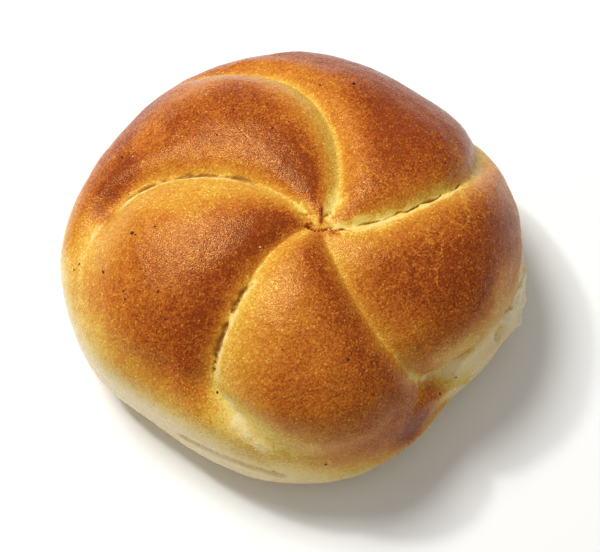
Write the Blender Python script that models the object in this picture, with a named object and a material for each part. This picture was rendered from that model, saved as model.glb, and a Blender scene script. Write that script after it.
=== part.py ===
"""A kaiser roll: one solid of baked dough whose top is parted into five petals by five curved cuts.

Metres, +Z up. The roll stands on Z = 0 with the origin under the middle of its box.
Run it with: blender --background --python part.py

The roll is a UV sphere whose vertices are moved, so every vertex has two numbers on the roll:
its column, which says where it lies between one cut and the next, and its polar angle, which is
0 at the star where the cuts meet, 90 degrees at the widest line and 180 degrees under the base.
The columns turn with the cuts, so each cut runs along an edge of the mesh.
"""

import math
from typing import NamedTuple

import bmesh
import bpy
from mathutils import Vector, noise

MM = 0.001

# The whole roll
CREST_HEIGHT = 48.5 * MM  # where the petals would top out with no cuts, above the base
WIDEST_HEIGHT = 18.0 * MM  # the widest line, above the base
BASE_SINK = 1.3 * MM  # how much of the underside's curve the flat base takes away
TOP_ROUNDNESS = 0.9  # 1 is an ellipse, and less is squarer at the shoulders
UNDER_ROUNDNESS = 0.53
SLOPE_LENGTH = 40.0 * MM  # how far a radian of polar angle runs down the crust
# Star to rim every 20 degrees, anticlockwise from +X: the star is off the middle
RIM_REACHES = [
    reach * MM
    for reach in (45.4, 49, 51, 50.5, 54.5, 58.3, 59.2, 57.8, 57.4, 57, 54, 47.5, 45.5, 45.2, 44.5, 41, 39.3, 43)
]


class Cut(NamedTuple):
    """One cut from the star to the rim. The petal after it lies anticlockwise of it."""

    heading: float  # degrees, the direction in which it leaves the star
    turn: float  # degrees that it turns anticlockwise for each degree of polar angle
    swerve: float  # degrees more that it turns right at the star, where the cuts just miss each other
    hooks_at: float  # polar degrees at which its tail starts to hook round the rim
    hook: float  # degrees that the hook adds in all
    fades: float  # polar degrees at which its tail starts to flatten out
    fade: float  # polar degrees over which it flattens
    trough_before: float  # how far its floor is rounded on the side of the petal before it
    trough_past: float  # and on the side of the petal after it
    ledge: float  # how far the edge below its tail stands out
    slit_from: float  # polar degrees between which its floor is torn open
    slit_to: float
    slit_depth: float


CUTS = (
    Cut(66.0, 0.715, -19.5, 71.0, 110.0, 58.0, 30.0, 1.3 * MM, 1.3 * MM, 0.9 * MM, 0.0, 0.0, 0.0),
    Cut(131.0, 0.656, -2.5, 71.0, 110.0, 52.0, 24.0, 0.7 * MM, 0.5 * MM, 0.9 * MM, 18.0, 52.0, 1.0 * MM),
    Cut(216.5, 0.268, -25.2, 60.4, 70.5, 62.0, 28.0, 0.6 * MM, 0.5 * MM, 1.3 * MM, 21.0, 66.0, 1.2 * MM),
    Cut(288.3, 0.251, 2.6, 74.3, 155.0, 80.0, 30.0, 0.8 * MM, 1.8 * MM, 2.2 * MM, 0.0, 0.0, 0.0),
    Cut(367.3, 0.392, -20.0, 76.5, 110.0, 68.0, 30.0, 0.7 * MM, 0.8 * MM, 0.9 * MM, 6.0, 48.0, 0.8 * MM),
)

# How the cuts run and how the petals swell beside them
SWERVE_ENDS = 10.0  # polar degrees
LEVEL = 14.0  # polar degrees over which a cut's plain turn dies out once its tail hooks round
HOOK_LENGTH = 55.0  # polar degrees over which a tail hooks round
SWELL_DEPTH, SWELL_WIDTH = 3.4 * MM, 8.5 * MM  # the petal's broad roll-off towards a cut
VALLEY_DEPTH, VALLEY_WIDTH = 1.7 * MM, 1.8 * MM  # the tight drop at the cut itself
TAIL_WIDTH, TAIL_TROUGH = 4.5 * MM, 2.5 * MM  # along a tail the valley is wider and its floor rounder
SLIT_HALF_WIDTH = 0.45 * MM
LEDGE_OFFSET, LEDGE_WIDTH = 4.5 * MM, 3.0 * MM  # the edge below a tail

# The torn patch where the roll had baked against its neighbour
SCAR_AZIMUTH, SCAR_HEIGHT = 357.0, 15.5 * MM
SCAR_LENGTH, SCAR_TALL, SCAR_PROUD = 8.0 * MM, 8.5 * MM, 3.0 * MM

# Hand-shaped dough is a little uneven
LUMP_SIZE, LUMP_HEIGHT = 24.0 * MM, 0.9 * MM

# The mesh
COLUMNS_PER_PETAL = 20
RINGS = 48
RING_CROWDING = 1.25  # above 1 puts more of the rings on the top
COLUMN_CROWDING = 0.88  # 0 spaces the columns evenly, and near 1 crowds them at the cuts

CRUST_COLOUR = (0.50, 0.19, 0.05, 1.0)
CRUST_ROUGHNESS = 0.5


def smoothstep(low, high, value):
    share = min(1.0, max(0.0, (value - low) / (high - low)))
    return share * share * (3.0 - 2.0 * share)


def cut_line(cut, polar):
    """The azimuth, in radians, of a cut before its tail hooks round: what the columns follow."""
    beyond = max(0.0, polar - cut.hooks_at)
    turned = min(polar, cut.hooks_at) + LEVEL * math.tanh(beyond / LEVEL)
    swerved = cut.swerve * math.exp(-polar / SWERVE_ENDS)
    return math.radians(cut.heading + cut.turn * turned + swerved)


def tail_hook(cut, polar):
    """How far a cut's tail has hooked round the rim, in radians."""
    return math.radians(cut.hook * smoothstep(cut.hooks_at, cut.hooks_at + HOOK_LENGTH, polar))


def rim_reach(azimuth):
    """Star to rim in any direction: a smooth closed curve through the reaches."""
    place = azimuth / math.tau * len(RIM_REACHES)
    index = math.floor(place)
    share = place - index
    before, here, ahead, beyond = (
        RIM_REACHES[(index + offset) % len(RIM_REACHES)] for offset in (-1, 0, 1, 2)
    )
    lean, lean_ahead = (ahead - before) / 2.0, (beyond - here) / 2.0
    rise = share * share * (3.0 - 2.0 * share)
    curve = share * (1.0 - share)
    return here + rise * (ahead - here) + curve * ((1.0 - share) * lean - share * lean_ahead)


def bun_surface(azimuth, polar):
    """(point, outward normal) of the uncut roll: a squared-off ellipse swept round the star."""
    angle = math.radians(polar)
    above = polar < 90.0
    roundness = TOP_ROUNDNESS if above else UNDER_ROUNDNESS
    half_height = CREST_HEIGHT - WIDEST_HEIGHT if above else -(WIDEST_HEIGHT + BASE_SINK)
    across = max(0.0, math.sin(angle)) ** roundness
    along = abs(math.cos(angle)) ** roundness
    reach = rim_reach(azimuth)
    steepness = 2.0 / roundness - 1.0
    out = across**steepness / reach
    normal = Vector((out * math.cos(azimuth), out * math.sin(azimuth), along**steepness / half_height))
    point = Vector((
        across * reach * math.cos(azimuth),
        across * reach * math.sin(azimuth),
        WIDEST_HEIGHT + half_height * along,
    ))
    return point, normal.normalized()


def distances_to_cuts(azimuth, polar, radius):
    """For each cut, how far the place is (past it, before it), square to the cut's own line."""
    step = 1.0
    found = []
    for cut in CUTS:
        here = cut_line(cut, polar) + tail_hook(cut, polar)
        further = cut_line(cut, polar + step) + tail_hook(cut, polar + step)
        slant = math.cos(math.atan2(radius * (further - here), math.radians(step) * SLOPE_LENGTH))
        past = (azimuth - here) % math.tau
        found.append((past * radius * slant, (math.tau - past) * radius * slant))
    return found


def relief(azimuth, polar, radius):
    """How far the crust stands above the uncut roll, in metres: below 0 in the cuts."""
    swell = valley = 1.0
    slit = ledge = 0.0
    for cut, (past, before) in zip(CUTS, distances_to_cuts(azimuth, polar, radius)):
        there = 1.0 - smoothstep(cut.fades, cut.fades + cut.fade, polar)
        tail = smoothstep(cut.fades - 22.0, cut.fades + 8.0, polar)
        trough = cut.trough_past if past < before else cut.trough_before
        trough += tail * (TAIL_TROUGH - trough)
        near = math.hypot(min(past, before), trough) - trough
        width = VALLEY_WIDTH + tail * (TAIL_WIDTH - VALLEY_WIDTH)
        swell *= 1.0 - there * math.exp(-near / SWELL_WIDTH)
        valley *= 1.0 - there * math.exp(-near / width)
        if cut.slit_depth:
            open_here = smoothstep(cut.slit_from, cut.slit_from + 8.0, polar)
            open_here *= 1.0 - smoothstep(cut.slit_to - 8.0, cut.slit_to, polar)
            slit += cut.slit_depth * open_here * max(0.0, 1.0 - min(past, before) / SLIT_HALF_WIDTH)
        bead = math.exp(-(((before - LEDGE_OFFSET) / LEDGE_WIDTH) ** 2))
        ledge += cut.ledge * bead * there * tail
    return ledge - SWELL_DEPTH * (1.0 - swell) - VALLEY_DEPTH * (1.0 - valley) - slit


def scar_bulge(azimuth, height, radius):
    """The torn patch stands proud of the side wall as a low mound."""
    turn = (azimuth - math.radians(SCAR_AZIMUTH) + math.pi) % math.tau - math.pi
    along, up = turn * radius / SCAR_LENGTH, (height - SCAR_HEIGHT) / SCAR_TALL
    return SCAR_PROUD * math.exp(-(along**4) - up * up)


def crust_point(column, polar):
    """A vertex of the crust. column runs from 0 to the number of cuts, once round the roll."""
    petal = int(column) % len(CUTS)
    share = column - int(column)
    crowding = COLUMN_CROWDING * smoothstep(0.0, 25.0, polar) * (1.0 - smoothstep(60.0, 95.0, polar))
    share -= crowding * math.sin(math.tau * share) / math.tau
    start = cut_line(CUTS[petal], polar)
    end = cut_line(CUTS[(petal + 1) % len(CUTS)], polar)
    azimuth = start + share * ((end - start) % math.tau)
    point, normal = bun_surface(azimuth, polar)
    radius = math.hypot(point.x, point.y)
    rise = relief(azimuth, polar, radius) + scar_bulge(azimuth, point.z, radius)
    above_base = smoothstep(0.0, 8.0 * MM, point.z)
    rise += above_base * LUMP_HEIGHT * noise.noise(point / LUMP_SIZE)
    point += rise * normal
    point.z = max(0.0, point.z)
    return point


def build_roll():
    """The roll as a sphere reshaped column by column and ring by ring."""
    roll = bmesh.new()
    bmesh.ops.create_uvsphere(
        roll, u_segments=COLUMNS_PER_PETAL * len(CUTS), v_segments=RINGS, radius=1.0
    )
    for vertex in roll.verts:
        place = vertex.co.copy()
        turn = math.atan2(place.y, place.x) % math.tau
        column = round(turn / math.tau * COLUMNS_PER_PETAL * len(CUTS)) / COLUMNS_PER_PETAL
        ring = math.acos(max(-1.0, min(1.0, place.z))) / math.pi
        vertex.co = crust_point(column, 180.0 * ring**RING_CROWDING)
    stand_on_origin(roll)
    mesh = bpy.data.meshes.new("roll")
    roll.to_mesh(mesh)
    roll.free()
    mesh.shade_smooth()
    return bpy.data.objects.new("roll", mesh)


def stand_on_origin(shape):
    """Moves the shape so that the middle of its box is over the origin and its base is at Z = 0."""
    low = Vector(min(v.co[axis] for v in shape.verts) for axis in range(3))
    high = Vector(max(v.co[axis] for v in shape.verts) for axis in range(3))
    middle = (low + high) / 2.0
    bmesh.ops.translate(shape, verts=shape.verts, vec=-Vector((middle.x, middle.y, low.z)))


def crust_material():
    material = bpy.data.materials.new("baked_crust")
    material.use_nodes = True
    shader = material.node_tree.nodes["Principled BSDF"]
    shader.inputs["Base Color"].default_value = CRUST_COLOUR
    shader.inputs["Roughness"].default_value = CRUST_ROUGHNESS
    shader.inputs["Metallic"].default_value = 0.0
    return material


def main():
    for old in list(bpy.data.objects):
        bpy.data.objects.remove(old)
    collection = bpy.data.collections.new("kaiser_roll")
    bpy.context.scene.collection.children.link(collection)
    roll = build_roll()
    roll.data.materials.append(crust_material())
    collection.objects.link(roll)


main()
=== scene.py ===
# %% [markdown]
# # A kaiser roll
#
# This notebook dresses a plain solid of a bread roll as the baked thing: a crust that goes from
# cream at the foot to red-brown on the crests, five cuts torn open where the dough split, and a
# few charred specks. The solid comes in as a frame. It stays for collision, and the pieces made
# here are what is seen.

import math
import random
from typing import NamedTuple

import bmesh
import bpy
import numpy as np
from mathutils import Matrix, Vector, noise


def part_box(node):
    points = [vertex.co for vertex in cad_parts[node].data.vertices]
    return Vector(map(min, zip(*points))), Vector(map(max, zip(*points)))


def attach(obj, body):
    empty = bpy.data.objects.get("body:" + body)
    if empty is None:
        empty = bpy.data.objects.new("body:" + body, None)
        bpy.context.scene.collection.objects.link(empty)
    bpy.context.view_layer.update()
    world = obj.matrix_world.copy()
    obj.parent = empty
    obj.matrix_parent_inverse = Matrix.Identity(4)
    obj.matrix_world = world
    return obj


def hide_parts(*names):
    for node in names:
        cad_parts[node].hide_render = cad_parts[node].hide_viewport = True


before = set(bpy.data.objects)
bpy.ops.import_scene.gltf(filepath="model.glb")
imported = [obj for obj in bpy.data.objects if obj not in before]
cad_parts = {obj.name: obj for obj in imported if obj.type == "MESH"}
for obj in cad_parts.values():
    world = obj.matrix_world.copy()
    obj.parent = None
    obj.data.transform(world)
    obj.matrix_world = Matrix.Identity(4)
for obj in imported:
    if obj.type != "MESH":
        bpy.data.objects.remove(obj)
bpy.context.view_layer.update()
low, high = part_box("roll")
print("the roll's box in mm:", [round(v * 1000, 1) for v in (*low, *high)])

# %% [markdown]
# ## The shape of the dough
#
# A kaiser roll starts as a ball of dough that is folded, or stamped, into petals. Its surface is
# described here by two angles, as on a globe with the star of cuts as its pole: the azimuth round
# the star, and the polar angle down from it. It could be sculpted by hand instead, but with two
# angles each cut is a short formula, and the same formula later says where the crust is pale.
# The sizes are the ones the solid was made with, so that the crust lies on it.

# %% Sizes of the whole roll
MM = 0.001
CREST_HEIGHT = 48.5 * MM  # where the petals would top out with no cuts
WIDEST_HEIGHT = 18.0 * MM
BASE_SINK = 1.3 * MM  # how much of the underside's curve the flat base takes away
TOP_ROUNDNESS = 0.9  # 1 is an ellipse, and less is squarer at the shoulders
UNDER_ROUNDNESS = 0.53
SLOPE_LENGTH = 40.0 * MM  # how far a radian of polar angle runs down the crust
# Star to rim every 20 degrees, anticlockwise from +X
RIM_REACHES = np.array(
    (45.4, 49, 51, 50.5, 54.5, 58.3, 59.2, 57.8, 57.4, 57, 54, 47.5, 45.5, 45.2, 44.5, 41, 39.3, 43)
) * MM
print("star to rim:", RIM_REACHES.min() / MM, "to", RIM_REACHES.max() / MM, "mm")


# %% Sizes of the five cuts
class Cut(NamedTuple):
    """One cut from the star to the rim. The petal after it lies anticlockwise of it."""

    heading: float  # degrees, the direction in which it leaves the star
    turn: float  # degrees that it turns anticlockwise for each degree of polar angle
    swerve: float  # degrees more that it turns right at the star
    hooks_at: float  # polar degrees at which its tail starts to hook round the rim
    hook: float  # degrees that the hook adds in all
    fades: float  # polar degrees at which its tail starts to flatten out
    fade: float  # polar degrees over which it flattens
    trough: float  # how far its floor is rounded, to the petal before it and to the one after
    trough_past: float
    ledge: float  # how far the edge below its tail stands out


CUTS = (
    Cut(66.0, 0.715, -19.5, 71.0, 110.0, 58.0, 30.0, 1.3 * MM, 1.3 * MM, 0.9 * MM),
    Cut(131.0, 0.656, -2.5, 71.0, 110.0, 52.0, 24.0, 0.7 * MM, 0.5 * MM, 0.9 * MM),
    Cut(216.5, 0.268, -25.2, 60.4, 70.5, 62.0, 28.0, 0.6 * MM, 0.5 * MM, 1.3 * MM),
    Cut(288.3, 0.251, 2.6, 74.3, 155.0, 80.0, 30.0, 0.8 * MM, 1.8 * MM, 2.2 * MM),
    Cut(367.3, 0.392, -20.0, 76.5, 110.0, 68.0, 30.0, 0.7 * MM, 0.8 * MM, 0.9 * MM),
)
SWERVE_ENDS = 10.0  # polar degrees
HOOK_LENGTH = 55.0  # polar degrees over which a tail hooks round
LEVEL = 14.0  # polar degrees over which the plain turn of a cut dies out below its hook
print(len(CUTS), "cuts")


# %% Helpers that take one number or an array of them
def smoothstep(low_value, high_value, value):
    share = np.clip((value - low_value) / (high_value - low_value), 0.0, 1.0)
    return share * share * (3.0 - 2.0 * share)


def cut_line(cut, polar):
    """Azimuth of the cut before its tail hooks round, in radians."""
    beyond = np.maximum(polar - cut.hooks_at, 0.0)
    turned = np.minimum(polar, cut.hooks_at) + LEVEL * np.tanh(beyond / LEVEL)
    swerved = cut.swerve * np.exp(-polar / SWERVE_ENDS)
    return np.radians(cut.heading + cut.turn * turned + swerved)


def tail_hook(cut, polar):
    return np.radians(cut.hook * smoothstep(cut.hooks_at, cut.hooks_at + HOOK_LENGTH, polar))


for cut in CUTS:
    run = np.degrees(cut_line(cut, 70.0) - cut_line(cut, 10.0))
    print(f"a cut that turns {run:.0f} degrees on its way to the shoulder")


# %% The uncut roll
def rim_reach(azimuth):
    """Star to rim in any direction: a smooth closed curve through the reaches."""
    place = np.asarray(azimuth) / math.tau * len(RIM_REACHES)
    index = np.floor(place).astype(int)
    share = place - index
    before, here, ahead, beyond = (
        RIM_REACHES[(index + offset) % len(RIM_REACHES)] for offset in (-1, 0, 1, 2)
    )
    lean, lean_ahead = (ahead - before) / 2.0, (beyond - here) / 2.0
    rise = share * share * (3.0 - 2.0 * share)
    curve = share * (1.0 - share)
    return here + rise * (ahead - here) + curve * ((1.0 - share) * lean - share * lean_ahead)


def bun_surface(azimuth, polar):
    """(points, outward normals) of the roll with no cuts, as arrays of three columns."""
    angle = np.radians(polar)
    above = polar < 90.0
    roundness = np.where(above, TOP_ROUNDNESS, UNDER_ROUNDNESS)
    half_height = np.where(above, CREST_HEIGHT - WIDEST_HEIGHT, -(WIDEST_HEIGHT + BASE_SINK))
    across = np.maximum(0.0, np.sin(angle)) ** roundness
    along = np.abs(np.cos(angle)) ** roundness
    reach = rim_reach(azimuth)
    steepness = 2.0 / roundness - 1.0
    out = across**steepness / reach
    normal = np.stack(
        (out * np.cos(azimuth), out * np.sin(azimuth), along**steepness / half_height), axis=-1
    )
    normal /= np.linalg.norm(normal, axis=-1, keepdims=True)
    point = np.stack(
        (
            across * reach * np.cos(azimuth),
            across * reach * np.sin(azimuth),
            WIDEST_HEIGHT + half_height * along,
        ),
        axis=-1,
    )
    return point, normal


print("height of the uncut star:", round(bun_surface(0.0, 0.001)[0][2] / MM, 1), "mm")

# %% [markdown]
# ## Petals, valleys and tears
#
# Each petal swells like a pillow and rolls off twice towards a cut: broadly over about a
# centimetre, then tightly in the last two millimetres. Where the dough rose faster than its skin
# could stretch, the floor of the valley tore open, and there the crust is missing and the crumb
# shows. The tears are part of the mesh here and not a painted line, because they throw shadows.
# Their open floors are also coloured dark brown, as painted shade.


# %% Where a place lies between the cuts
def distances_to_cuts(azimuth, polar, radius):
    """For each cut, how far each place is (past it, before it), square to the cut's own line."""
    step = 1.0
    found = []
    for cut in CUTS:
        here = cut_line(cut, polar) + tail_hook(cut, polar)
        further = cut_line(cut, polar + step) + tail_hook(cut, polar + step)
        run_down = math.radians(step) * SLOPE_LENGTH
        slant = run_down / np.hypot(radius * (further - here), run_down)
        past = (azimuth - here) % math.tau
        found.append((past * radius * slant, (math.tau - past) * radius * slant))
    return found


# %% The petals' relief
SWELL_DEPTH, SWELL_WIDTH = 3.4 * MM, 8.5 * MM
VALLEY_DEPTH, VALLEY_WIDTH = 1.7 * MM, 1.8 * MM
TAIL_WIDTH, TAIL_SOFTNESS = 4.5 * MM, 2.5 * MM  # along a tail the valley is wider, its floor round
LEDGE_OFFSET, LEDGE_WIDTH = 4.5 * MM, 3.0 * MM


def petal_relief(polar, distances):
    """How far the crust stands above the uncut roll: below 0 in the valleys."""
    swell = valley = 1.0
    ledge = 0.0
    for cut, (past, before) in zip(CUTS, distances):
        there = 1.0 - smoothstep(cut.fades, cut.fades + cut.fade, polar)
        tail = smoothstep(cut.fades - 22.0, cut.fades + 8.0, polar)
        trough = np.where(past < before, cut.trough_past, cut.trough)
        trough = trough + tail * (TAIL_SOFTNESS - trough)
        near = np.hypot(np.minimum(past, before), trough) - trough
        width = VALLEY_WIDTH + tail * (TAIL_WIDTH - VALLEY_WIDTH)
        swell = swell * (1.0 - there * np.exp(-near / SWELL_WIDTH))
        valley = valley * (1.0 - there * np.exp(-near / width))
        bead = np.exp(-(((before - LEDGE_OFFSET) / LEDGE_WIDTH) ** 2))
        ledge = ledge + cut.ledge * bead * there * tail
    return ledge - SWELL_DEPTH * (1.0 - swell) - VALLEY_DEPTH * (1.0 - valley)


# %% Noise over many points at once
def noise_at(points, size, octaves=1, shift=0.0):
    """Smooth noise of about that feature size, between -1 and 1, at each point."""
    offset = Vector((shift, 2.0 * shift, -shift))
    basis = "PERLIN_ORIGINAL"
    if octaves == 1:
        values = [noise.noise(Vector(p) / size + offset, noise_basis=basis) for p in points]
    else:
        values = [
            noise.fractal(Vector(p) / size + offset, 0.6, 2.0, octaves, noise_basis=basis)
            for p in points
        ]
    return np.array(values)


# %% The torn slits
class Tear(NamedTuple):
    """A stretch of a cut whose floor has torn open."""

    cut: int
    starts: float  # polar degrees
    ends: float
    half_width: float
    depth: float
    lip_side: int  # 1 if its pale lip is on the petal past the cut, -1 if on the one before


TEARS = (
    Tear(1, 13.0, 58.0, 0.48 * MM, 0.65 * MM, 1),
    Tear(2, 18.0, 66.0, 0.55 * MM, 0.75 * MM, 1),
    Tear(4, 6.0, 52.0, 0.24 * MM, 0.6 * MM, -1),
)
LIP_OFFSET, LIP_WIDTH, LIP_HEIGHT = 0.5 * MM, 0.55 * MM, 0.16 * MM
MM_PER_DEGREE = math.radians(SLOPE_LENGTH / MM)


def tear_open(polar, distances):
    """(depth, openness that sets the painted shade, lip) of the slits: ragged in width, pitted along the floor,
    and bridged.
    """
    depth, slit_shade_share, lips = np.zeros((3, len(polar)))
    for number, rip in enumerate(TEARS):
        past, before = distances[rip.cut]
        there = smoothstep(rip.starts, rip.starts + 7.0, polar)
        there = there * (1.0 - smoothstep(rip.ends - 12.0, rip.ends, polar))
        side = np.where(past < before, past, -before)
        rows = (np.abs(side) < rip.half_width + 3.0 * MM) & (there > 0.0)
        there, side = there[rows], side[rows]
        along = polar[rows] * MM_PER_DEGREE * MM
        flat = np.stack((along, 0.35 * side, np.full_like(along, 9.0 * MM * number)), axis=-1)
        wander = noise_at(flat, 3.0 * MM, octaves=2)
        pinch = noise_at(flat, 3.5 * MM, octaves=3, shift=4.4)
        flat[:, 1] = side
        pits = noise_at(flat, 1.1 * MM, octaves=2, shift=7.7)
        width = rip.half_width * (0.35 + 0.65 * there) * (1.0 + 0.9 * pinch + 0.4 * pits)
        width = np.maximum(width, 0.05 * MM)
        inside = 1.0 - smoothstep(0.4, 1.1, np.abs(side - 0.35 * MM * wander) / width)
        bridged = smoothstep(-0.45, 0.0, pinch + 0.3 * pits)
        dig = rip.depth * there * inside * (0.25 + 0.75 * bridged) * (0.8 + 0.5 * pits)
        lip_middle = rip.half_width + LIP_OFFSET + 0.35 * MM * wander
        lip = np.exp(-(((rip.lip_side * side - lip_middle) / LIP_WIDTH) ** 2))
        lip = lip * there * smoothstep(-0.5, 0.3, pits - 0.4 * pinch)
        depth[rows] = np.maximum(depth[rows], dig)
        slit_shade_share[rows] = np.maximum(slit_shade_share[rows], inside * there * (0.4 + 0.6 * bridged))
        lips[rows] = np.maximum(lips[rows], lip)
    return depth, slit_shade_share, lips


# %% [markdown]
# ## The torn patch
#
# On the right the roll had baked against its neighbour. Pulled apart, they left a cream patch of
# bare crumb with a ragged edge, which stands proud of the wall. Its mound is part of the solid. The
# torn surface on it is added here.


# %% The patch where it touched its neighbour
SCAR_AZIMUTH, SCAR_HEIGHT = 357.0, 15.5 * MM
SCAR_LENGTH, SCAR_TALL, SCAR_PROUD = 8.0 * MM, 8.5 * MM, 3.0 * MM
TORN_STEP, TORN_ROUGH = 0.5 * MM, 0.55 * MM


def scar_place(azimuth, height, radius):
    """(along, up) of each place from the middle of the patch, in patch half-sizes."""
    turn = (azimuth - math.radians(SCAR_AZIMUTH) + math.pi) % math.tau - math.pi
    return turn * radius / SCAR_LENGTH, (height - SCAR_HEIGHT) / SCAR_TALL


def scar_bulge(azimuth, height, radius):
    along, up = scar_place(azimuth, height, radius)
    return SCAR_PROUD * np.exp(-(along**4) - up * up)


def scar_torn(azimuth, height, radius, points):
    """How torn each place is: 1 on the bare patch, 0 on whole crust, with a ragged edge between."""
    along, up = scar_place(azimuth, height, radius)
    edge = along**4 + 1.6 * up * up + 0.35 * noise_at(points, 3.0 * MM, octaves=3, shift=2.7)
    return 1.0 - smoothstep(0.5, 0.75, edge)


# %% [markdown]
# ## Marks of the hand and the oven
#
# Where the five petals meet, the dough was pinched: a ragged crack crosses the star, with a browned
# crumb standing up beside it. Further out there are creases, torn bits of lip and pale wrinkles.
# Each is one line on the crust with a width, a rise and a change of colour, so they share one table.


# %% A table of marks
class Mark(NamedTuple):
    """A crack, a ridge or a stain along a line on the crust."""

    way: tuple  # (azimuth, polar) in degrees of the places it runs through
    half_width: float  # mm
    rise: float  # mm, below 0 for a groove
    bake: float  # how much browner than what is round it, below 0 for paler; in the star's grooves and the torn patch's edge it is painted shade
    cream: float = 0.0  # how much less golden
    ragged: float = 0.6  # 0 is an even line, and 1 is broken up


MARKS = (
    # The pinched star: its grooves are painted browner, as painted shade in the cracks, and the crumbs that stand
    # up beside them are browned
    Mark(((186, 2.2), (195, 1.4), (229, 1.2), (317, 1.3)), 0.24, -0.50, 0.75, ragged=0.9),
    Mark(((317, 1.3), (353, 2.0), (340, 3.4), (353, 5.2), (349, 7.5)), 0.24, -0.50, 0.75, ragged=0.9),
    Mark(((85, 3.4), (75, 0.8)), 0.42, 0.40, 0.75, ragged=0.3),
    Mark(((146, 3.6), (120, 2.6)), 0.22, -0.40, 0.70),
    Mark(((66, 2.4), (52, 4.0)), 0.22, -0.40, 0.70),
    Mark(((176, 1.9), (160, 1.2)), 0.35, 0.25, 0.45),
    Mark(((322, 2.6), (334, 4.6)), 0.80, 0.0, 0.40),
    Mark(((130, 1.5), (128, 4.2)), 1.60, 0.0, -0.42),
    Mark(((50, 2.5), (60, 8.0)), 1.80, 0.0, -0.42, 0.15),
    Mark(((350, 3.0), (358, 10.0), (2, 16)), 1.70, 0.0, -0.32, 0.12),
    Mark(((8, 9), (12, 20), (22, 36)), 1.50, 0.0, -0.28),
    Mark(((205, 2.0), (215, 5.0)), 1.20, 0.0, -0.20),
    # The end of the left cut: bits of pale lip, and a torn patch with a faint band below it
    Mark(((168, 51), (165, 49)), 0.70, 0.10, -0.25, 0.5, 1.0),
    Mark(((176, 62), (173, 60), (171, 57)), 0.90, -0.10, -0.15, 0.4, 1.0),
    Mark(((178, 63), (184, 66), (192, 71)), 0.90, 0.0, -0.10, 0.1),
    Mark(((156, 52), (163, 56), (169, 58)), 3.50, 0.0, 0.45, 0.0, 0.2),
    # The back left petal's rim, paler over a broad band
    Mark(((120, 52), (136, 54), (150, 51)), 5.50, 0.0, -0.20, 0.0, 0.2),
    # The lower left cut: its torn end, the cream ridge along its tail, and the crease in the wall
    Mark(((240, 66), (244, 70), (247, 73)), 1.10, -0.15, -0.15, 0.45, 1.0),
    Mark(((245, 74), (250, 78), (255, 81)), 1.10, 0.12, -0.20, 0.5, 1.0),
    Mark(((243, 76), (252, 82), (262, 88), (270, 92)), 2.60, 0.15, -0.10, 0.1, 0.3),
    Mark(((246, 68), (254, 72), (266, 78)), 4.50, 0.0, -0.26, 0.1, 0.2),
    Mark(((230, 92), (236, 91), (242, 91), (248, 91), (255, 92), (260, 94)), 0.60, -0.80, 0.04, 0.0, 0.3),
    # Wrinkles low on the front petal
    Mark(((278, 69), (284, 75), (290, 86)), 0.45, 0.12, -0.15, 0.1),
    Mark(((262, 72), (270, 76)), 0.40, 0.10, -0.08),
    # The tail of the front right cut: a cream band with a golden ridge below it, and the wall above
    Mark(((311, 79), (319, 86), (329, 90), (337, 92), (344, 95)), 1.20, -0.10, -0.15, 0.5, 0.3),
    Mark(((307, 82), (312, 86), (319, 90), (326, 94)), 1.70, 0.80, 0.14, -1.0, 0.1),
    Mark(((301, 86), (307, 91), (313, 96)), 2.40, 0.0, 0.20, -1.0, 0.2),
    Mark(((298, 92), (307, 96), (315, 100)), 3.50, 0.0, 0.32, -0.9, 0.2),
    Mark(((305, 69), (309, 77)), 1.60, 0.0, -0.25, 0.1),
    Mark(((317, 68), (329, 69), (341, 68), (352, 66)), 3.80, 0.0, -0.30, 0.12, 0.2),
    Mark(((320, 52), (332, 57)), 6.50, 0.0, -0.12, 0.0, 0.2),
    Mark(((316, 76), (330, 80), (346, 83)), 3.00, 0.0, 0.05, 0.20, 0.2),
    Mark(((330, 85), (348, 87)), 4.50, 0.0, 0.26, -0.55, 0.3),
    # The torn patch's upper edge: a groove, painted browner as painted shade in it
    Mark(((354, 78), (354, 88), (351, 90), (347, 92), (343, 95)), 0.50, -0.90, 0.40, -0.2, 0.5),
)


def distance_to_way(places, way):
    """How far each place on the uncut roll lies from the line through those places."""
    corners = bun_surface(
        np.radians([azimuth for azimuth, _ in way]), np.array([polar for _, polar in way], float)
    )[0]
    nearest = np.full(len(places), np.inf)
    for start, end in zip(corners[:-1], corners[1:]):
        run = end - start
        share = np.clip((places - start) @ run / (run @ run), 0.0, 1.0)
        offset = np.linalg.norm(places - start - share[:, None] * run, axis=1)
        nearest = np.minimum(nearest, offset)
    return nearest


def all_marks(places):
    """(rise, browner, creamier) from all the marks together; in some grooves browner is painted shade."""
    totals = np.zeros((3, len(places)))
    for number, mark in enumerate(MARKS):
        distance = distance_to_way(places, mark.way)
        rows = distance < 3.0 * mark.half_width * MM
        grain = noise_at(places[rows], max(0.6, mark.half_width) * MM, octaves=2, shift=3.0 * number)
        strength = np.exp(-((distance[rows] / (mark.half_width * MM)) ** 2))
        strength = strength * np.clip(1.0 + 1.6 * mark.ragged * grain, 0.0, 1.6)
        totals[:, rows] += strength * np.array([[mark.rise * MM], [mark.bake], [mark.cream]])
    return totals


print(len(MARKS), "marks")

# %% Lumps, dimples and grain
LUMP_SIZE, LUMP_HEIGHT = 24.0 * MM, 0.9 * MM
DIMPLE_SIZE, DIMPLE_HEIGHT = 5.0 * MM, 0.12 * MM
GRAIN_SIZE, GRAIN_HEIGHT = 1.3 * MM, 0.05 * MM


def unevenness(points):
    """Small heights that every part of the crust has."""
    dimples = noise_at(points, DIMPLE_SIZE, octaves=3, shift=5.1)
    grain = noise_at(points, GRAIN_SIZE, octaves=2, shift=8.3)
    return DIMPLE_HEIGHT * dimples + GRAIN_HEIGHT * grain


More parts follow.
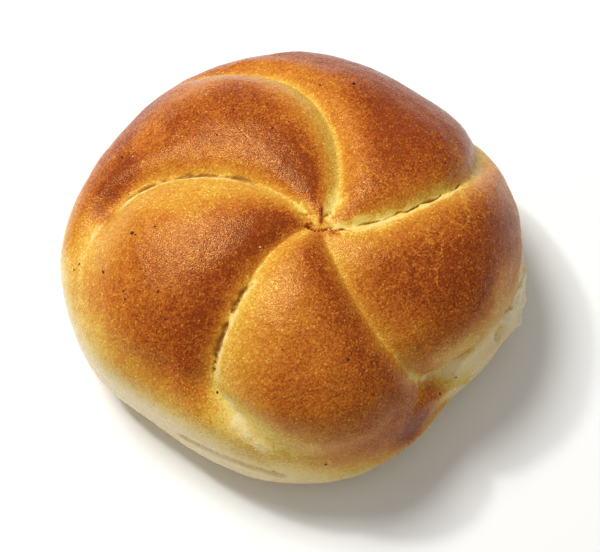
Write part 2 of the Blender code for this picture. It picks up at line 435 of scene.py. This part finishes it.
# %% [markdown]
# ## One skin for the whole crust
#
# The crust is a UV sphere with its vertices moved out to the formulas above. Its columns turn
# with the cuts and crowd towards them, so every tear runs along the mesh and gets the finest
# faces, while the smooth middle of a petal gets the coarsest. The rings crowd on the top.

# %% Mesh density
COLUMNS_PER_PETAL = 72
RINGS = 268
COLUMN_CROWDING = 0.78
triangles = 2 * COLUMNS_PER_PETAL * len(CUTS) * (RINGS - 1)
print(triangles, "triangles in the crust")


# %% From a column and a ring to the two angles
def polar_of_ring(ring):
    """ring runs from 0 at the star to 1 under the base."""
    return 180.0 * (0.62 * ring + 0.38 * ring**3)


def azimuth_of_column(column, polar):
    """column runs from 0 to the number of cuts, once round the roll."""
    petal = np.floor(column).astype(int) % len(CUTS)
    share = column - np.floor(column)
    crowding = COLUMN_CROWDING * smoothstep(0.0, 25.0, polar) * (1.0 - smoothstep(66.0, 95.0, polar))
    share = share - crowding * np.sin(math.tau * share) / math.tau
    starts = np.stack([cut_line(cut, polar) for cut in CUTS])
    start = np.take_along_axis(starts, petal[None, :], axis=0)[0]
    end = np.take_along_axis(starts, ((petal + 1) % len(CUTS))[None, :], axis=0)[0]
    return start + share * ((end - start) % math.tau)


# %% Make the sphere and read its columns and rings
crust_mesh = bmesh.new()
bmesh.ops.create_uvsphere(
    crust_mesh, u_segments=COLUMNS_PER_PETAL * len(CUTS), v_segments=RINGS, radius=1.0
)
ball = np.array([vertex.co for vertex in crust_mesh.verts])
turn_share = np.arctan2(ball[:, 1], ball[:, 0]) % math.tau / math.tau
columns = np.round(turn_share * COLUMNS_PER_PETAL * len(CUTS)) / COLUMNS_PER_PETAL
rings = np.round(np.arccos(np.clip(ball[:, 2], -1.0, 1.0)) / math.pi * RINGS) / RINGS
polars = polar_of_ring(rings)
azimuths = azimuth_of_column(columns, polars)
print(len(ball), "vertices")

# %% Move every vertex out to the crust
points, normals = bun_surface(azimuths, polars)
radii = np.hypot(points[:, 0], points[:, 1])
distances = distances_to_cuts(azimuths, polars, radii)
above_base = smoothstep(0.0, 8.0 * MM, points[:, 2])
form_rise = petal_relief(polars, distances) + scar_bulge(azimuths, points[:, 2], radii)
form_rise += above_base * LUMP_HEIGHT * noise_at(points, LUMP_SIZE)
plain_form = points + form_rise[:, None] * normals
plain_form[:, 2] = np.maximum(plain_form[:, 2], 0.0)

torn_depth, slit_shade_mask, lips = tear_open(polars, distances)
mark_rise, mark_bake_and_shade, mark_cream = all_marks(points)
scar = scar_torn(azimuths, points[:, 2], radii, points)
rise = form_rise - torn_depth + LIP_HEIGHT * lips + mark_rise + above_base * unevenness(points)
rise += scar * (TORN_STEP + TORN_ROUGH * noise_at(points, 1.7 * MM, octaves=3, shift=1.9))
crust_points = points + rise[:, None] * normals
crust_points[:, 2] = np.maximum(crust_points[:, 2], 0.0)

# %% Stand it where the solid stands
form_low, form_high = plain_form.min(axis=0), plain_form.max(axis=0)
shift = (np.array(low) + np.array(high) - form_low - form_high) / 2.0
shift[2] = low.z - form_low[2]
crust_points += shift
for vertex, point in zip(crust_mesh.verts, crust_points):
    vertex.co = point
star = Vector(crust_points[np.argmin(polars)])
print("the star is at", [round(v / MM, 1) for v in star], "mm")

# %% The crust as an object
crust_data = bpy.data.meshes.new("crust")
crust_mesh.to_mesh(crust_data)
crust_mesh.free()
crust_data.shade_smooth()
crust = bpy.data.objects.new("crust", crust_data)
bpy.context.scene.collection.objects.link(crust)


# %% [markdown]
# ## How far each place has baked
#
# The oven browns what stands proud and faces up, and leaves pale what was covered: the valleys,
# which opened late, and the foot, which was shaded by the tray. One number for each vertex says
# how far it has baked, from 0, raw, to 1, nearly burnt. A second one says how creamy it is: late
# in a valley the dough goes golden, but down at the foot it stays floury cream. Painting by hand
# would also work, but a formula follows the cuts exactly.


# %% Which petal a place is in, and how brown each petal is
class Shade(NamedTuple):
    """How a cut pales the petal on one side: at its seam, and more widely over the flank."""

    seam: float
    seam_reach: float  # mm
    flank: float
    flank_reach: float  # mm
    star_share: float  # how much of the flank's reach is left at the star


SHADES_PAST = (
    Shade(0.45, 1.2, 0.82, 7.5, 0.55),
    Shade(0.30, 2.0, 0.62, 14.0, 0.25),
    Shade(0.85, 2.8, 0.52, 11.0, 0.40),
    Shade(0.42, 2.0, 0.32, 9.0, 0.7),
    Shade(0.74, 1.5, 0.30, 7.0, 0.7),
)
SHADES_BEFORE = (
    Shade(0.62, 1.1, 0.40, 9.5, 0.5),
    Shade(0.68, 1.6, 0.32, 8.0, 0.6),
    Shade(0.78, 1.5, 0.05, 4.0, 0.4),
    Shade(0.45, 1.1, 0.18, 3.5, 0.8),
    Shade(0.70, 2.0, 0.42, 9.5, 1.0),
)
PALES_FROM = (6.0, 6.0, 30.0, 6.0, 6.0)  # polar degrees at which each cut is at its palest
PETAL_BAKES = np.array((0.92, 0.82, 0.74, 0.98, 1.0))
CREST_BAKES = np.array((0.04, 0.16, 0.10, 0.06, 0.0))  # how much browner its far edge is
CREST_OFFSET, CREST_WIDTH = 5.0 * MM, 5.0 * MM
STAR_BAKES = np.array((0.18, 0.06, 0.06, -0.34, -0.08))  # how much browner it is near the star


def pale_side(shade, distance, polar):
    """Share of the browning that a cut takes away at that distance on one side."""
    widening = shade.star_share + (1.0 - shade.star_share) * smoothstep(4.0, 32.0, polar)
    seam = shade.seam * np.exp(-((distance / (shade.seam_reach * MM)) ** 1.4))
    flank = shade.flank * np.exp(-((distance / (shade.flank_reach * widening * MM)) ** 2.2))
    return 1.0 - (1.0 - seam) * (1.0 - flank)


# %% Browning by the cuts
petals = np.floor(columns).astype(int) % len(CUTS)
past_all = np.stack([past for past, _ in distances])
before_all = np.stack([before for _, before in distances])
to_far_edge = np.take_along_axis(before_all, ((petals + 1) % len(CUTS))[None, :], axis=0)[0]
crest = np.exp(-(((to_far_edge - CREST_OFFSET) / CREST_WIDTH) ** 2))
bake = PETAL_BAKES[petals] + CREST_BAKES[petals] * crest
bake += STAR_BAKES[petals] * (1.0 - smoothstep(8.0, 26.0, polars))
pale = np.zeros_like(bake)
for cut, past, before, shade_past, shade_before, pales_from in zip(
    CUTS, past_all, before_all, SHADES_PAST, SHADES_BEFORE, PALES_FROM
):
    there = 1.0 - smoothstep(cut.fades + 2.0, cut.fades + cut.fade, polars)
    there = there * (0.55 + 0.45 * smoothstep(1.0, pales_from, polars))
    past_side = pale_side(shade_past, past, polars) * (past < before)
    before_side = pale_side(shade_before, before, polars) * (before <= past)
    pale = np.maximum(pale, there * (past_side + before_side))
bake *= 1.0 - pale
print("bake on the top:", round(float(np.median(bake[polars < 60.0])), 2))

# %% Browning fades towards the foot
# How high the paleness climbs every 20 degrees, anticlockwise from +X
PALE_HEIGHTS = np.array(
    (27, 24, 22, 20, 18, 18, 21, 24, 28, 30, 29, 28, 27, 22, 16, 11, 26.5, 28.5)
) * MM
PALE_BLUR = 9.0 * MM
pale_height = np.interp(
    np.degrees(azimuths) % 360.0, np.arange(0, 361, 20), np.append(PALE_HEIGHTS, PALE_HEIGHTS[0])
)
heights = crust_points[:, 2] + 1.5 * MM * noise_at(crust_points, 9.0 * MM, octaves=2, shift=12.0)
bake *= smoothstep(pale_height - PALE_BLUR, pale_height + PALE_BLUR, heights)
cream = 1.0 - smoothstep(pale_height - 12.0 * MM, pale_height - 1.0 * MM, heights)

# %% Marks, lips, torn crumb and mottling
bake += mark_bake_and_shade - 0.40 * lips
cream = cream + mark_cream + 0.60 * lips
bake += 0.07 * noise_at(crust_points, 16.0 * MM, octaves=2, shift=21.0)
bake += 0.06 * noise_at(crust_points, 4.0 * MM, octaves=2, shift=33.0) * smoothstep(0.1, 0.5, bake)


def store(name, values):
    """Keeps one number for each vertex under that name, for the material to read."""
    attribute = crust_data.attributes.new(name, "FLOAT", "POINT")
    attribute.data.foreach_set("value", np.clip(values, 0.0, 1.0).astype(np.float32))


CRACKLED = ((343, 36), (357, 42), (10, 48))
CRACKLED_FAINTLY = ((30, 50), (50, 46))
crackle = np.exp(-((distance_to_way(points, CRACKLED) / (9.0 * MM)) ** 4))
crackle += 0.4 * np.exp(-((distance_to_way(points, CRACKLED_FAINTLY) / (8.0 * MM)) ** 4))
for name, values in (
    ("bake", bake), ("cream", cream), ("crumb", scar), ("slit_shade", slit_shade_mask), ("crackle", crackle)
):
    store(name, values)
    print(name, "from", round(float(values.min()), 2), "to", round(float(values.max()), 2))

# %% [markdown]
# ## The crust's finish


# %% Colour and node helpers
def colour(code):
    """A sRGB hex colour as the linear RGBA that Blender wants."""
    channels = [int(code[i : i + 2], 16) / 255.0 for i in (1, 3, 5)]
    linear = [c / 12.92 if c <= 0.04045 else ((c + 0.055) / 1.055) ** 2.4 for c in channels]
    return (*linear, 1.0)


def add_node(tree, kind, settings=None, **links):
    """A node with its settings, and its inputs linked or set by name (spaces as underscores)."""
    node = tree.nodes.new(kind)
    for name, value in (settings or {}).items():
        setattr(node, name, value)
    for name, value in links.items():
        socket = node.inputs[int(name[1:])] if name[1:].isdigit() else node.inputs[name.replace("_", " ")]
        if isinstance(value, bpy.types.NodeSocket):
            tree.links.new(value, socket)
        else:
            socket.default_value = value
    return node


def ramp(node, stops):
    """Sets a colour ramp's stops: (place, hex colour)."""
    band = node.color_ramp
    while len(band.elements) < len(stops):
        band.elements.new(0.5)
    for element, (place, code) in zip(band.elements, stops):
        element.position = place
        element.color = colour(code)


# %% Colours of the baked crust
# Sugars turn from golden through caramel to red-brown. Where flour still covers the dough, at the
# foot and on torn edges, the same steps are paler and greyer.
GOLD_STOPS = (
    (0.00, "#E9CD66"),
    (0.20, "#DEB045"),
    (0.40, "#D39030"),
    (0.60, "#C47626"),
    (0.80, "#AD561B"),
    (1.00, "#84350F"),
)
CREAM_STOPS = (
    (0.00, "#F6E0AE"),
    (0.20, "#EFD092"),
    (0.40, "#E2B268"),
    (0.60, "#C88236"),
    (0.80, "#AD561B"),
    (1.00, "#84350F"),
)
BLISTER_SIZE = 0.32 * MM  # steam raises a fine grain, drawn here a little coarser than it is
PEBBLE_SIZE = 0.55 * MM
MOTTLE_SIZE = 2.5 * MM
CRACKLE_SIZE = 4.5 * MM  # the cells between hairline cracks
CRACKLE_LINE = 0.055  # in cells

# %% Baked crust
# A satin skin of gelled starch and caramel: small steam blisters break its gloss into sparkle.
crust_finish = bpy.data.materials.new("baked_crust_finish")
crust_finish.use_nodes = True
tree = crust_finish.node_tree
shader = tree.nodes["Principled BSDF"]
place = add_node(tree, "ShaderNodeTexCoord").outputs["Object"]
baked, creamy, crumbed, slit_shade, crackled = (
    add_node(tree, "ShaderNodeAttribute", {"attribute_name": name}).outputs["Fac"]
    for name in ("bake", "cream", "crumb", "slit_shade", "crackle")
)
pebble = add_node(tree, "ShaderNodeTexNoise", None, Vector=place, Scale=1 / PEBBLE_SIZE, Detail=0.0)
blisters = add_node(tree, "ShaderNodeTexVoronoi", None, Vector=place, Scale=1 / BLISTER_SIZE)
blister = add_node(tree, "ShaderNodeSeparateColor", None, Color=blisters.outputs["Color"])
# Painted glints: a random few of the blisters are coloured paler, as small highlights on the grain
painted_glints = add_node(
    tree, "ShaderNodeMapRange", None, Value=blister.outputs[1], From_Min=0.88, From_Max=0.98
)
mottle = add_node(tree, "ShaderNodeTexNoise", None, Vector=place, Scale=1 / MOTTLE_SIZE, Detail=3.0)

# %% Hairline cracks where the skin dried first
bent = add_node(
    tree, "ShaderNodeVectorMath", {"operation": "MULTIPLY_ADD"},
    _0=mottle.outputs["Color"], _1=(1.6 * MM,) * 3, _2=place,
)
cells = add_node(
    tree, "ShaderNodeTexVoronoi", {"feature": "DISTANCE_TO_EDGE"},
    Vector=bent.outputs[0], Scale=1 / CRACKLE_SIZE,
)
hairline = add_node(
    tree, "ShaderNodeMapRange", None,
    Value=cells.outputs["Distance"], From_Min=0.0, From_Max=CRACKLE_LINE, To_Min=1.0, To_Max=0.0,
)
broken = add_node(
    tree, "ShaderNodeMapRange", None, Value=mottle.outputs["Fac"], From_Min=0.42, From_Max=0.58
)
hairline = add_node(
    tree, "ShaderNodeMath", {"operation": "MULTIPLY"}, _0=hairline.outputs[0], _1=broken.outputs[0]
)
hairline = add_node(
    tree, "ShaderNodeMath", {"operation": "MULTIPLY"}, _0=hairline.outputs[0], _1=crackled
)

# %% Colour from how far it has baked
shifted = baked
for source, amount, centre in (
    (pebble.outputs["Fac"], -0.10, 0.5),
    (blister.outputs[0], -0.30, 0.5),
    # painted glints: the few paler blisters
    (painted_glints.outputs[0], -0.30, 0.05),
    (mottle.outputs["Fac"], 0.18, 0.5),
    (hairline.outputs[0], -0.34, 0.0),
):
    change = add_node(
        tree, "ShaderNodeMath", {"operation": "MULTIPLY_ADD"}, _0=source, _1=amount, _2=-amount * centre
    )
    shifted = add_node(
        tree, "ShaderNodeMath", {"operation": "ADD"}, _0=shifted, _1=change.outputs[0]
    ).outputs[0]
gold_ramp = add_node(tree, "ShaderNodeValToRGB", None, Fac=shifted)
ramp(gold_ramp, GOLD_STOPS)
cream_ramp = add_node(tree, "ShaderNodeValToRGB", None, Fac=shifted)
ramp(cream_ramp, CREAM_STOPS)
skin = add_node(
    tree, "ShaderNodeMix", {"data_type": "RGBA"},
    _0=creamy, _6=gold_ramp.outputs["Color"], _7=cream_ramp.outputs["Color"],
)
with_crumb = add_node(
    tree, "ShaderNodeMix", {"data_type": "RGBA"},
    _0=crumbed, _6=skin.outputs[2], _7=colour("#F0DEB4"),
)
# Painted shade: where a slit is open, its floor is coloured dark brown for the shade down in the tear
with_slit_shade = add_node(
    tree, "ShaderNodeMix", {"data_type": "RGBA"},
    _0=slit_shade, _6=with_crumb.outputs[2], _7=colour("#A87536"),
)
tree.links.new(with_slit_shade.outputs[2], shader.inputs["Base Color"])

# %% Gloss and blisters
gloss = add_node(
    tree, "ShaderNodeMapRange", None,
    Value=mottle.outputs["Fac"], From_Min=0.3, From_Max=0.7, To_Min=0.18, To_Max=0.30,
)
tree.links.new(gloss.outputs[0], shader.inputs["Roughness"])
shader.inputs["IOR"].default_value = 1.45
shader.inputs["Specular IOR Level"].default_value = 0.34
shader.inputs["Specular Tint"].default_value = colour("#FFE09A")
soft_bump = add_node(
    tree, "ShaderNodeBump", None, Height=pebble.outputs["Fac"], Distance=0.04 * MM, Strength=1.0
)
bump = add_node(
    tree, "ShaderNodeBump", {"invert": True}, Height=blisters.outputs["Distance"], Distance=0.06 * MM,
    Strength=1.0, Normal=soft_bump.outputs["Normal"],
)
tree.links.new(bump.outputs["Normal"], shader.inputs["Normal"])
crust_data.materials.append(crust_finish)

# %% Place the crust in the frame
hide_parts("roll")
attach(crust, "root")

# %% [markdown]
# ## Specks
#
# Bran and burnt crumbs from the oven's floor stick to the crust as dark flakes about half a
# millimetre long, and a few lumps of flour stay as white ones. They could be painted into the
# crust's colour, but flakes of their own keep a crisp edge and stand a little proud, as real ones
# do. The ones that catch the eye are placed one by one, and finer ones are scattered.

# %% Where the specks lie
CHAR_PLACES = (  # azimuth and polar angle in degrees, and length in mm
    (78, 45, 1.1), (89, 42, 0.7), (123, 33, 0.6), (113, 23, 0.7), (153, 57, 0.7), (134, 31, 0.6),
    (180, 35, 0.6), (180, 42, 1.0), (181, 41, 0.5), (182, 67, 0.6), (183, 70, 0.6), (189, 55, 0.9),
    (196, 50, 0.6), (199, 51, 0.6), (202, 41, 0.7), (211, 47, 0.5), (281, 41, 0.6), (287, 42, 0.5),
    (236, 66, 0.6), (272, 88, 0.6), (258, 92, 0.5), (313, 86, 0.6), (322, 90, 0.5),
)
FLOUR_PLACES = (
    (204, 13, 0.45), (243, 73, 0.4), (246, 75, 0.5), (253, 80, 0.45), (254, 81, 0.35), (252, 82, 0.35),
    (150, 54, 0.4), (152, 52, 0.4), (306, 65, 0.35), (122, 46, 0.3), (126, 44, 0.3),
)
FINE_CHAR_SPECKS = 26
chance = random.Random(11)
fine_places = [
    (chance.uniform(0.0, 360.0), chance.uniform(20.0, 75.0), chance.uniform(0.2, 0.38))
    for _ in range(FINE_CHAR_SPECKS)
]


# %% Make the flakes
FLAKE_THINNESS = 0.45  # thickness over length
FLAKE_ROUGHNESS = 0.22


def crust_place(azimuth, polar):
    """The crust's nearest vertex to those two angles in degrees."""
    turn = (azimuths - math.radians(azimuth) + math.pi) % math.tau - math.pi
    apart = np.hypot(turn * np.sin(np.radians(polar)), np.radians(polars - polar))
    return crust_data.vertices[int(np.argmin(apart))]


def flakes(name, places):
    """One piece of small uneven flakes, lying on the crust at those places."""
    mesh = bmesh.new()
    for azimuth, polar, length in places:
        spot = crust_place(azimuth, polar)
        size = Vector((1.0, chance.uniform(0.5, 0.9), FLAKE_THINNESS)) * length / 2.0 * MM
        pose = Matrix.Translation(spot.co) @ spot.normal.to_track_quat("Z", "Y").to_matrix().to_4x4()
        pose = pose @ Matrix.Rotation(chance.uniform(0.0, math.tau), 4, "Z") @ Matrix.Diagonal((*size, 1.0))
        flake = bmesh.ops.create_icosphere(mesh, subdivisions=2, radius=1.0, matrix=pose)
        for vertex in flake["verts"]:
            nudge = Vector([chance.uniform(-1.0, 1.0) for _ in range(3)])
            vertex.co += FLAKE_ROUGHNESS * length / 2.0 * MM * nudge
    data = bpy.data.meshes.new(name)
    mesh.to_mesh(data)
    mesh.free()
    piece = bpy.data.objects.new(name, data)
    bpy.context.scene.collection.objects.link(piece)
    print(name, len(places), "flakes")
    return piece


char_flecks = flakes("char_flecks", CHAR_PLACES + tuple(fine_places))
flour_specks = flakes("flour_specks", FLOUR_PLACES)


# %% Finishes of the specks
def plain_finish(name, code, roughness):
    """A material of one colour."""
    finish = bpy.data.materials.new(name)
    finish.use_nodes = True
    finish.node_tree.nodes["Principled BSDF"].inputs["Base Color"].default_value = colour(code)
    finish.node_tree.nodes["Principled BSDF"].inputs["Roughness"].default_value = roughness
    return finish


# Burnt bran: brown-black and dull, which gives the crust its freckles
char_flecks.data.materials.append(plain_finish("burnt_bran", "#45170B", 0.8))
# Dry flour: chalky, the only white on the roll
flour_specks.data.materials.append(plain_finish("dry_flour", "#EBDCBA", 0.9))
for piece in (char_flecks, flour_specks):
    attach(piece, "root")

# %% [markdown]
# ## Floor, light and camera
#
# A pale table, a big soft lamp high on the left behind the roll with a small one beside it, and a
# camera that looks down steeply, so that the star and all five petals show.

# %% Floor
floor_mesh = bmesh.new()
bmesh.ops.create_grid(floor_mesh, x_segments=1, y_segments=1, size=1.5)
floor_data = bpy.data.meshes.new("floor")
floor_mesh.to_mesh(floor_data)
floor_mesh.free()
floor = bpy.data.objects.new("floor", floor_data)
floor.location.z = low.z - 0.0002
bpy.context.scene.collection.objects.link(floor)
floor_data.materials.append(plain_finish("pale_table", "#F6F6F4", 0.9))


# %% Lamps
def aim(thing, where, at):
    """Puts a lamp or camera at a place, looking at another."""
    thing.location = where
    thing.rotation_mode = "QUATERNION"
    thing.rotation_quaternion = (Vector(at) - Vector(where)).to_track_quat("-Z", "Y")
    bpy.context.scene.collection.objects.link(thing)


def direction(azimuth, elevation):
    """A unit vector towards that azimuth from +X and elevation, both in degrees."""
    a, e = math.radians(azimuth), math.radians(elevation)
    return Vector((math.cos(a) * math.cos(e), math.sin(a) * math.cos(e), math.sin(e)))


key_lamp = bpy.data.lights.new("key", "AREA")
key_lamp.shape = "DISK"
key_lamp.size = 0.35
key_lamp.energy = 5.8
middle = Vector((0.0, 0.0, 0.02))
aim(bpy.data.objects.new("key", key_lamp), middle + 0.9 * direction(140.0, 62.0), middle)
# A small lamp lower than the big one: only it is narrow enough to make single blisters sparkle
sparkle_lamp = bpy.data.lights.new("sparkle", "AREA")
sparkle_lamp.shape = "DISK"
sparkle_lamp.size = 0.07
sparkle_lamp.energy = 2.0
aim(bpy.data.objects.new("sparkle", sparkle_lamp), middle + 0.85 * direction(151.0, 54.0), middle)

# A white ceiling over darker walls: the walls would put a grey sheen on the far edges
WALL_LIGHT, CEILING_LIGHT = 0.10, 0.48
world = bpy.data.worlds.new("studio")
world.use_nodes = True
studio = world.node_tree
upward = add_node(studio, "ShaderNodeSeparateXYZ", None, Vector=add_node(studio, "ShaderNodeTexCoord").outputs[0])
strength = add_node(
    studio, "ShaderNodeMapRange", None, Value=upward.outputs["Z"], To_Min=WALL_LIGHT, To_Max=CEILING_LIGHT
)
studio.nodes["Background"].inputs["Color"].default_value = (1.0, 1.0, 1.0, 1.0)
studio.links.new(strength.outputs[0], studio.nodes["Background"].inputs["Strength"])
bpy.context.scene.world = world
bpy.context.scene.view_settings.view_transform = "Standard"

# %% Camera
CAMERA_TILT = 63.0  # degrees above the horizon
CAMERA_DISTANCE = 366.4 * MM
AIM = Vector((1.2, -7.2, 22.0)) * MM
camera_data = bpy.data.cameras.new("camera")
camera_data.lens = 100.0
camera_data.sensor_width = 36.0
camera = bpy.data.objects.new("camera", camera_data)
aim(camera, AIM + CAMERA_DISTANCE * direction(-90.0, CAMERA_TILT), AIM)
bpy.context.scene.camera = camera
